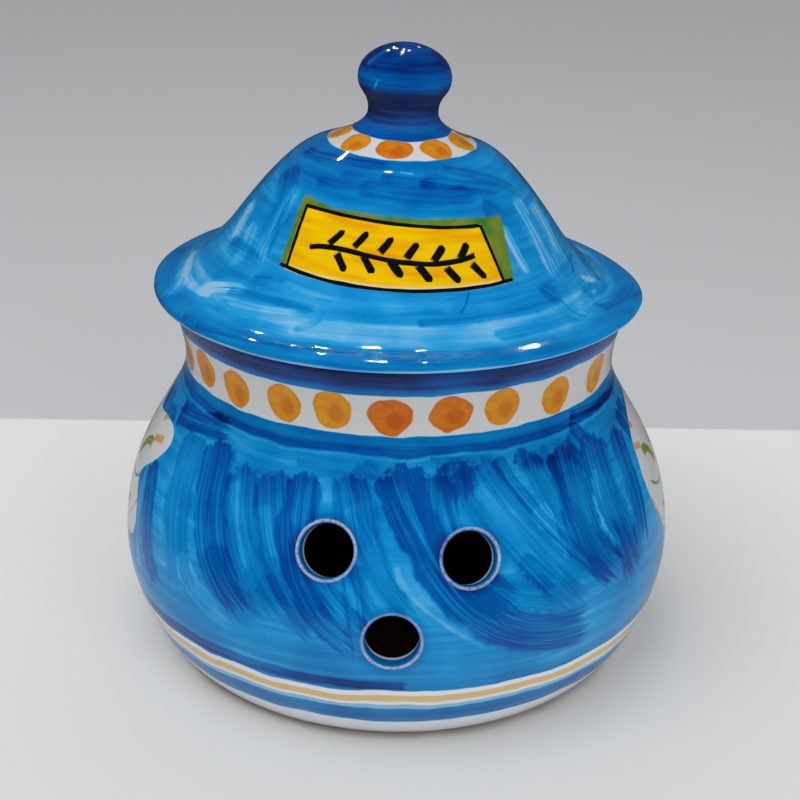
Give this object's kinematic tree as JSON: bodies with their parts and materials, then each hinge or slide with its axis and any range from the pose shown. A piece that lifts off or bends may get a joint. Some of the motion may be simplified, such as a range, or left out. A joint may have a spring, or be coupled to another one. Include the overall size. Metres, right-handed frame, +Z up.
{
  "type": "garlic keeper",
  "caption": "Pot-bellied glazed earthenware garlic keeper with vent holes in its front wall and a knobbed bell-shaped lid that lifts off.",
  "frame": {"origin": "middle of the foot ring, on the surface the jar stands on", "axes": "+Z up along the jar's axis of turning, -Y towards the side with the vent holes, +X to the right as seen from that side"},
  "size_m": [0.1656, 0.1654, 0.1809],
  "materials": {
    "jar_majolica": "tin-glazed earthenware, brushed translucent cobalt blue over white, with painted bands and dots under a clear gloss, bare terracotta foot",
    "lid_majolica": "tin-glazed earthenware, brushed translucent cobalt blue over white, with a painted ring of dots and a yellow label field under a clear gloss"
  },
  "bodies": {
    "jar": {"jar": "jar_majolica"},
    "lid": {"lid": "lid_majolica"}
  },
  "joints": [
    {"name": "lid_lift", "type": "slide", "parent": "jar", "child": "lid", "axis": [0, 0, 1], "range_m": [0, 0.1]}
  ]
}
